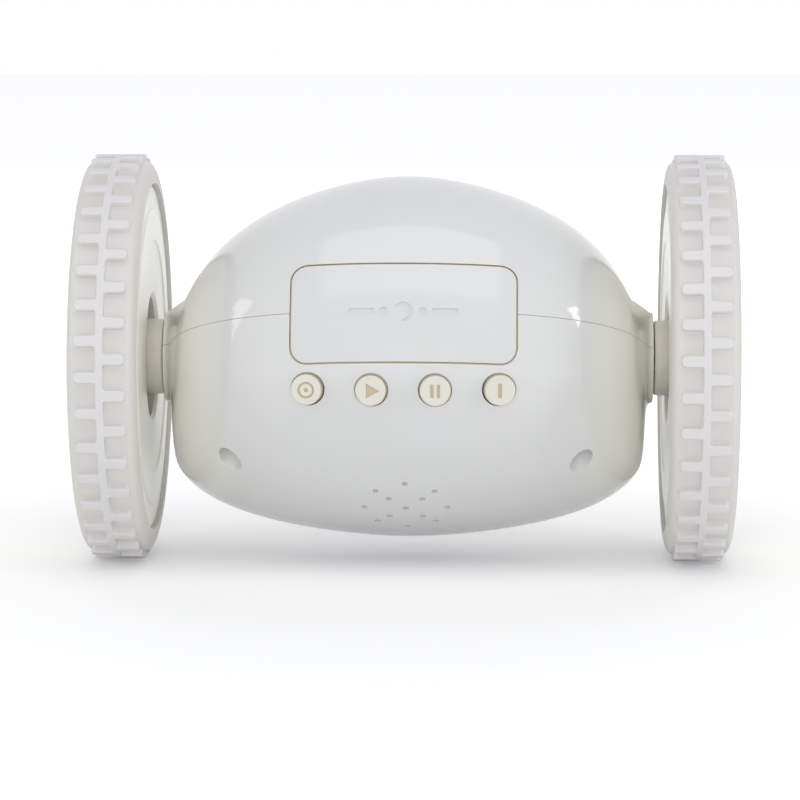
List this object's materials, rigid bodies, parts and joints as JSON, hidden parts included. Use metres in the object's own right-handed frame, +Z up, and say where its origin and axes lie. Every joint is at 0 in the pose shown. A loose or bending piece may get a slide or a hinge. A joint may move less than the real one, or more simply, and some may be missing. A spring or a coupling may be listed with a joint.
{
  "type": "runaway alarm clock",
  "caption": "Bedside alarm clock with a rounded white body slung between two large ribbed drive wheels, a snooze bar and set buttons.",
  "frame": {"origin": "on the floor under the middle of the wheel axis", "axes": "+X along the wheel axis to the right as seen from the display side, +Y from the display towards the snooze bar and set buttons, +Z up"},
  "size_m": [0.1334, 0.084, 0.084],
  "materials": {
    "shell_white": "glossy cool white ABS",
    "snooze_white": "glossy white ABS",
    "button_ivory": "satin ivory ABS",
    "clear_lens": "clear polished acrylic",
    "lcd_glass": "grey-green LCD glass",
    "backlight_white": "frosted light guide",
    "connector_rubber": "striped silicone connector",
    "board_green": "solder-masked fibreglass",
    "part_black": "moulded black epoxy",
    "switch_black": "black nylon",
    "plunger_grey": "grey acetal",
    "speaker_steel": "pressed steel",
    "speaker_paper": "black paper",
    "magnet": "ferrite in a steel cup",
    "tray_cream": "cream ABS",
    "cell_sleeve": "printed sleeve over a zinc can, bare of any text",
    "contact_nickel": "nickel-plated steel",
    "screw_steel": "zinc-plated steel",
    "tyre_white": "matte soft white rubber",
    "rim_white": "satin warm white ABS",
    "cap_white": "glossy white ABS",
    "axle_steel": "ground steel",
    "bush_bronze": "sintered bronze",
    "gear_nylon": "natural nylon",
    "motor_steel": "drawn steel can",
    "gearbox_plastic": "dark acetal"
  },
  "bodies": {
    "housing": {"battery_cells": "cell_sleeve", "battery_contacts": "contact_nickel", "battery_springs": "contact_nickel", "battery_tray": "tray_cream", "board_components": "part_black", "board_screws": "screw_steel", "button_board": "board_green", "button_switches": "switch_black", "connector_strip": "connector_rubber", "display_lens": "clear_lens", "front_housing": "shell_white", "housing_screws": "screw_steel", "lcd_backlight": "backlight_white", "lcd_panel": "lcd_glass", "left_axle_bush": "bush_bronze", "left_gear_pin": "axle_steel", "left_gearbox_case": "gearbox_plastic", "left_gearbox_cover": "gearbox_plastic", "left_motor_can": "motor_steel", "main_board": "board_green", "rear_housing": "shell_white", "right_axle_bush": "bush_bronze", "right_gear_pin": "axle_steel", "right_gearbox_case": "gearbox_plastic", "right_gearbox_cover": "gearbox_plastic", "right_motor_can": "motor_steel", "snooze_board": "board_green", "snooze_switches": "switch_black", "speaker_cone": "speaker_paper", "speaker_frame": "speaker_steel", "speaker_magnet": "magnet"},
    "right_wheel": {"right_tyre": "tyre_white", "right_wheel_rim": "rim_white", "right_wheel_cover": "rim_white", "right_hub_cap": "cap_white", "right_axle": "axle_steel", "right_output_gear": "gear_nylon"},
    "right_idler": {"right_idler_gear": "gear_nylon"},
    "right_rotor": {"right_motor_rotor": "axle_steel"},
    "left_wheel": {"left_tyre": "tyre_white", "left_wheel_rim": "rim_white", "left_wheel_cover": "rim_white", "left_hub_cap": "cap_white", "left_axle": "axle_steel", "left_output_gear": "gear_nylon"},
    "left_idler": {"left_idler_gear": "gear_nylon"},
    "left_rotor": {"left_motor_rotor": "axle_steel"},
    "snooze_bar": {"snooze_button": "snooze_white", "snooze_plungers": "plunger_grey"},
    "time_key": {"time_button": "button_ivory", "time_plunger": "plunger_grey"},
    "alarm_key": {"alarm_button": "button_ivory", "alarm_plunger": "plunger_grey"},
    "minute_key": {"minute_button": "button_ivory", "minute_plunger": "plunger_grey"},
    "hour_key": {"hour_button": "button_ivory", "hour_plunger": "plunger_grey"},
    "door": {"battery_door": "shell_white"}
  },
  "joints": [
    {"name": "right_wheel_spin", "type": "hinge", "parent": "housing", "child": "right_wheel", "pos_m": [0, 0, 0.042], "axis": [1, 0, 0], "continuous": true},
    {"name": "right_idler_spin", "type": "hinge", "parent": "housing", "child": "right_idler", "pos_m": [0, 0, 0.0285], "axis": [1, 0, 0], "continuous": true},
    {"name": "right_motor_spin", "type": "hinge", "parent": "housing", "child": "right_rotor", "pos_m": [0, 0.01349, 0.02803], "axis": [1, 0, 0], "continuous": true},
    {"name": "left_wheel_spin", "type": "hinge", "parent": "housing", "child": "left_wheel", "pos_m": [0, 0, 0.042], "axis": [1, 0, 0], "continuous": true},
    {"name": "left_idler_spin", "type": "hinge", "parent": "housing", "child": "left_idler", "pos_m": [0, 0, 0.0285], "axis": [1, 0, 0], "continuous": true},
    {"name": "left_motor_spin", "type": "hinge", "parent": "housing", "child": "left_rotor", "pos_m": [0, 0.01349, 0.02803], "axis": [1, 0, 0], "continuous": true},
    {"name": "snooze_press", "type": "slide", "parent": "housing", "child": "snooze_bar", "axis": [0, -0.9397, -0.342], "range_m": [0, 0.001], "stiffness_N_per_m": 1200},
    {"name": "time_press", "type": "slide", "parent": "housing", "child": "time_key", "axis": [0, -1, 0], "range_m": [0, 0.0008], "stiffness_N_per_m": 1500},
    {"name": "alarm_press", "type": "slide", "parent": "housing", "child": "alarm_key", "axis": [0, -1, 0], "range_m": [0, 0.0008], "stiffness_N_per_m": 1500},
    {"name": "minute_press", "type": "slide", "parent": "housing", "child": "minute_key", "axis": [0, -1, 0], "range_m": [0, 0.0008], "stiffness_N_per_m": 1500},
    {"name": "hour_press", "type": "slide", "parent": "housing", "child": "hour_key", "axis": [0, -1, 0], "range_m": [0, 0.0008], "stiffness_N_per_m": 1500},
    {"name": "door_lift", "type": "slide", "parent": "housing", "child": "door", "axis": [0, -0.6157, -0.788], "range_m": [0, 0.008]}
  ],
  "couplings": [
    {"joint": "right_idler_spin", "follows": "right_wheel_spin", "ratio": -4.4},
    {"joint": "right_motor_spin", "follows": "right_wheel_spin", "ratio": 19.36},
    {"joint": "left_idler_spin", "follows": "left_wheel_spin", "ratio": -4.4},
    {"joint": "left_motor_spin", "follows": "left_wheel_spin", "ratio": 19.36}
  ]
}
